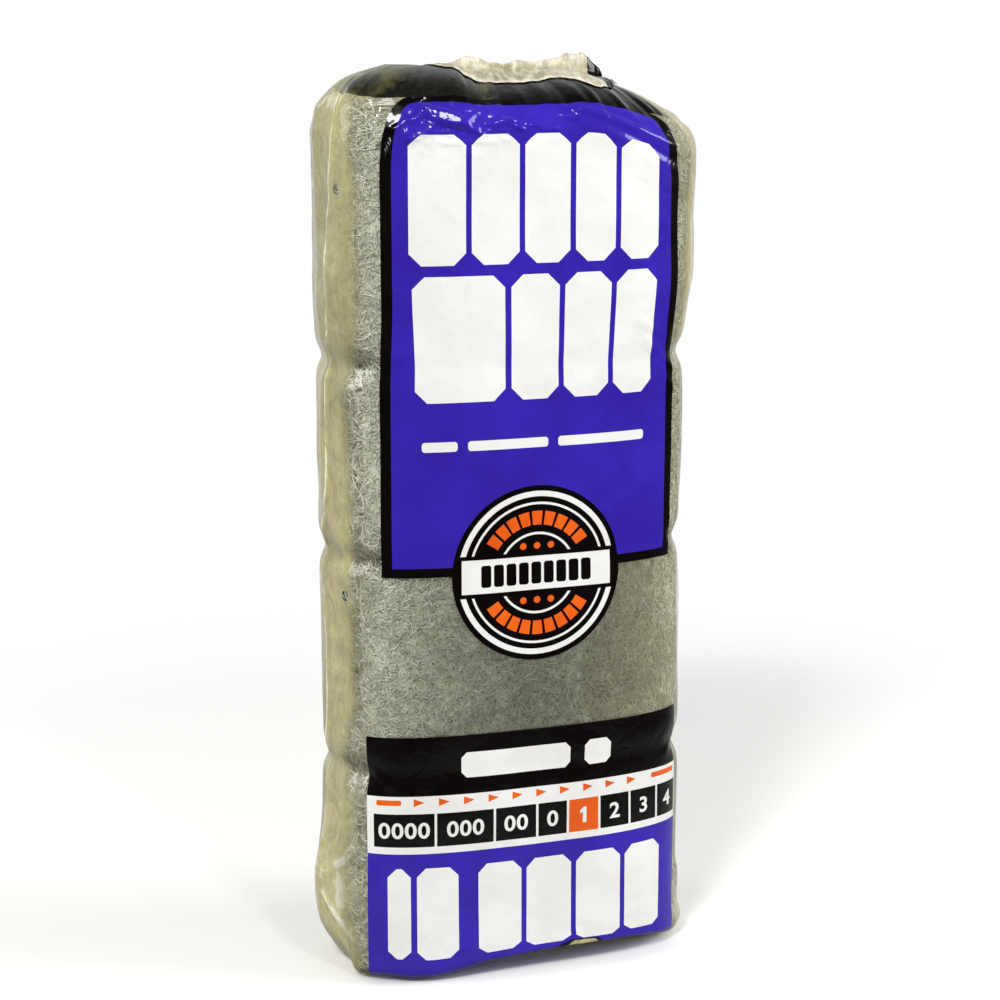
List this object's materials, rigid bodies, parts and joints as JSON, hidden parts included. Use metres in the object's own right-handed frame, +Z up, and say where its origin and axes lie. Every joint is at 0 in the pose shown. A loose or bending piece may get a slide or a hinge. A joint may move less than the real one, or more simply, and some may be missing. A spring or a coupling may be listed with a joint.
{
  "type": "steel wool pad pack",
  "caption": "Sealed gusseted bag of clear printed film, standing on its flat bottom and filled with folded steel wool pads in rows and layers.",
  "frame": {"origin": "middle of the flat bottom that the bag stands on", "axes": "+Z up the bag, +X to the right as seen from the printed front, front face towards -Y"},
  "size_m": [0.1142, 0.0568, 0.2663],
  "materials": {
    "film": "clear glossy film, printed in blue, black, white and orange on its front",
    "steel_wool": "matted fine steel fibres, dull grey green with bright glints"
  },
  "bodies": {
    "root": {"film_bag": "film", "pad_row1_layer1": "steel_wool", "pad_row1_layer2": "steel_wool", "pad_row1_layer3": "steel_wool", "pad_row1_layer4": "steel_wool", "pad_row2_layer1": "steel_wool", "pad_row2_layer2": "steel_wool", "pad_row2_layer3": "steel_wool", "pad_row2_layer4": "steel_wool", "pad_row3_layer1": "steel_wool", "pad_row3_layer2": "steel_wool", "pad_row3_layer3": "steel_wool", "pad_row3_layer4": "steel_wool", "pad_row4_layer1": "steel_wool", "pad_row4_layer2": "steel_wool", "pad_row4_layer3": "steel_wool", "pad_row4_layer4": "steel_wool"}
  },
  "joints": []
}
